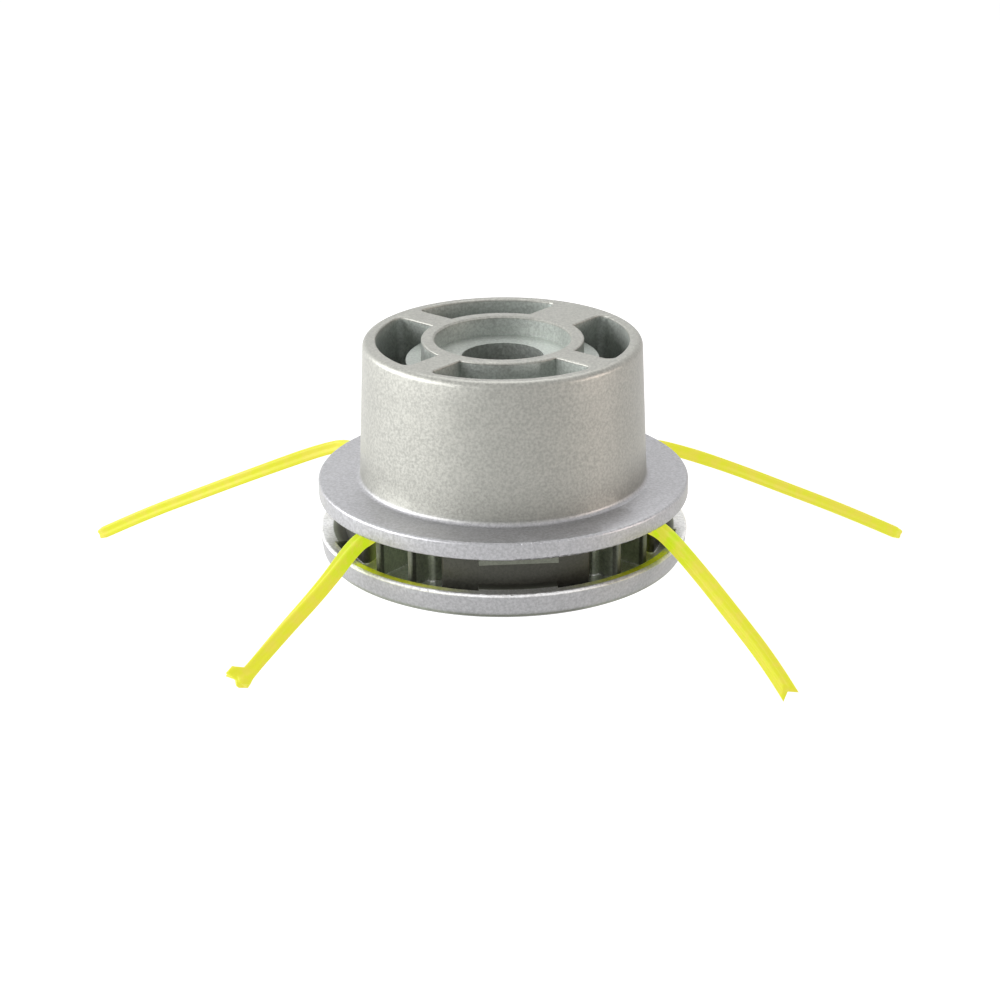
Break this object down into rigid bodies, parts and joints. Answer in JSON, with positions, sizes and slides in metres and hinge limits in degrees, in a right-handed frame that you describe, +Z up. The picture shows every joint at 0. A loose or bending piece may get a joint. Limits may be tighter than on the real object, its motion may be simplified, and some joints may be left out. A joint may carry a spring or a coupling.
{
  "type": "trimmer head",
  "caption": "Fixed-line head for a brush cutter: a cast drum housing and dished disc that clamp stubs of twisted cutting line between them.",
  "frame": {"origin": "centre of the register's seat in the top of the housing, where the machine's arbor boss lands", "axes": "+Z up along the spindle towards the machine; +X and +Y each point through the middle of a pocket between two ribs, with the wide rib between them"},
  "size_m": [0.1732, 0.112, 0.0644],
  "materials": {
    "cast_aluminium": "bead-blasted die casting, warm light grey",
    "screw_steel": "plain zinc-plated steel",
    "trimmer_line": "slightly translucent fluorescent yellow-green nylon"
  },
  "bodies": {
    "root": {"upper_housing": "cast_aluminium", "lower_disc": "cast_aluminium", "clamp_screws": "screw_steel", "left_line_loop": "trimmer_line", "right_line_loop": "trimmer_line", "front_left_line_end": "trimmer_line", "front_right_line_end": "trimmer_line", "back_left_line_end": "trimmer_line", "back_right_line_end": "trimmer_line"}
  },
  "joints": []
}
